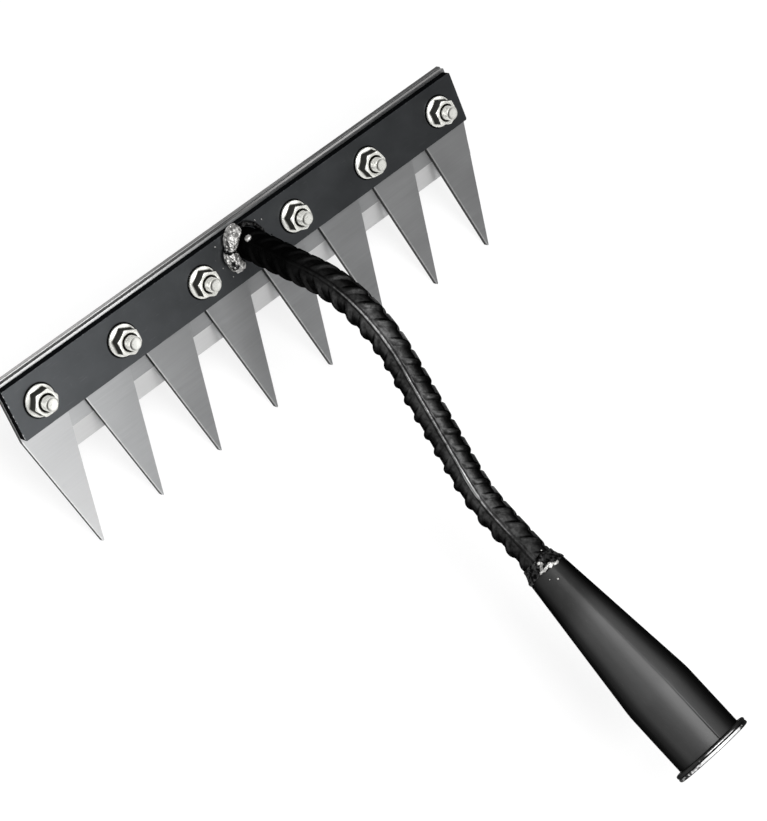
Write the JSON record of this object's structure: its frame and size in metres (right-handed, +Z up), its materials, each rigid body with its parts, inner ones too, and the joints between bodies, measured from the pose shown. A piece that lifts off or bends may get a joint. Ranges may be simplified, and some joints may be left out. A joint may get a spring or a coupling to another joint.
{
  "type": "weeding rake head",
  "caption": "Weeding rake head: a toothed blade and a bevelled scraper blade bolted behind a bar, on a curved ribbed neck welded into a handle socket.",
  "frame": {"origin": "centre of the handle socket's mouth, level with the ring's end face", "axes": "+Y out of the socket's mouth, the way the handle leaves; +X along the blades; +Z up on the side where the bolts' nuts are, with the teeth pointing down and towards +Y"},
  "size_m": [0.3215, 0.3759, 0.1211],
  "materials": {
    "bar_paint": "satin black paint",
    "blade_steel": "fine brushed grain along the blade",
    "zinc_fasteners": "bright zinc plate",
    "gloss_black_paint": "gloss black paint over bar and sheet",
    "bare_weld": "bare, lumpy weld metal"
  },
  "bodies": {
    "root": {"clamp_bar": "bar_paint", "toothed_blade": "blade_steel", "scraper_blade": "blade_steel", "flange_nut_1": "zinc_fasteners", "flange_nut_2": "zinc_fasteners", "flange_nut_3": "zinc_fasteners", "flange_nut_4": "zinc_fasteners", "flange_nut_5": "zinc_fasteners", "flange_nut_6": "zinc_fasteners", "bolt_1": "zinc_fasteners", "bolt_2": "zinc_fasteners", "bolt_3": "zinc_fasteners", "bolt_4": "zinc_fasteners", "bolt_5": "zinc_fasteners", "bolt_6": "zinc_fasteners", "ribbed_neck": "gloss_black_paint", "neck_weld_left": "bare_weld", "neck_weld_right": "gloss_black_paint", "handle_socket": "gloss_black_paint", "socket_weld": "gloss_black_paint", "mouth_ring": "gloss_black_paint"}
  },
  "joints": []
}
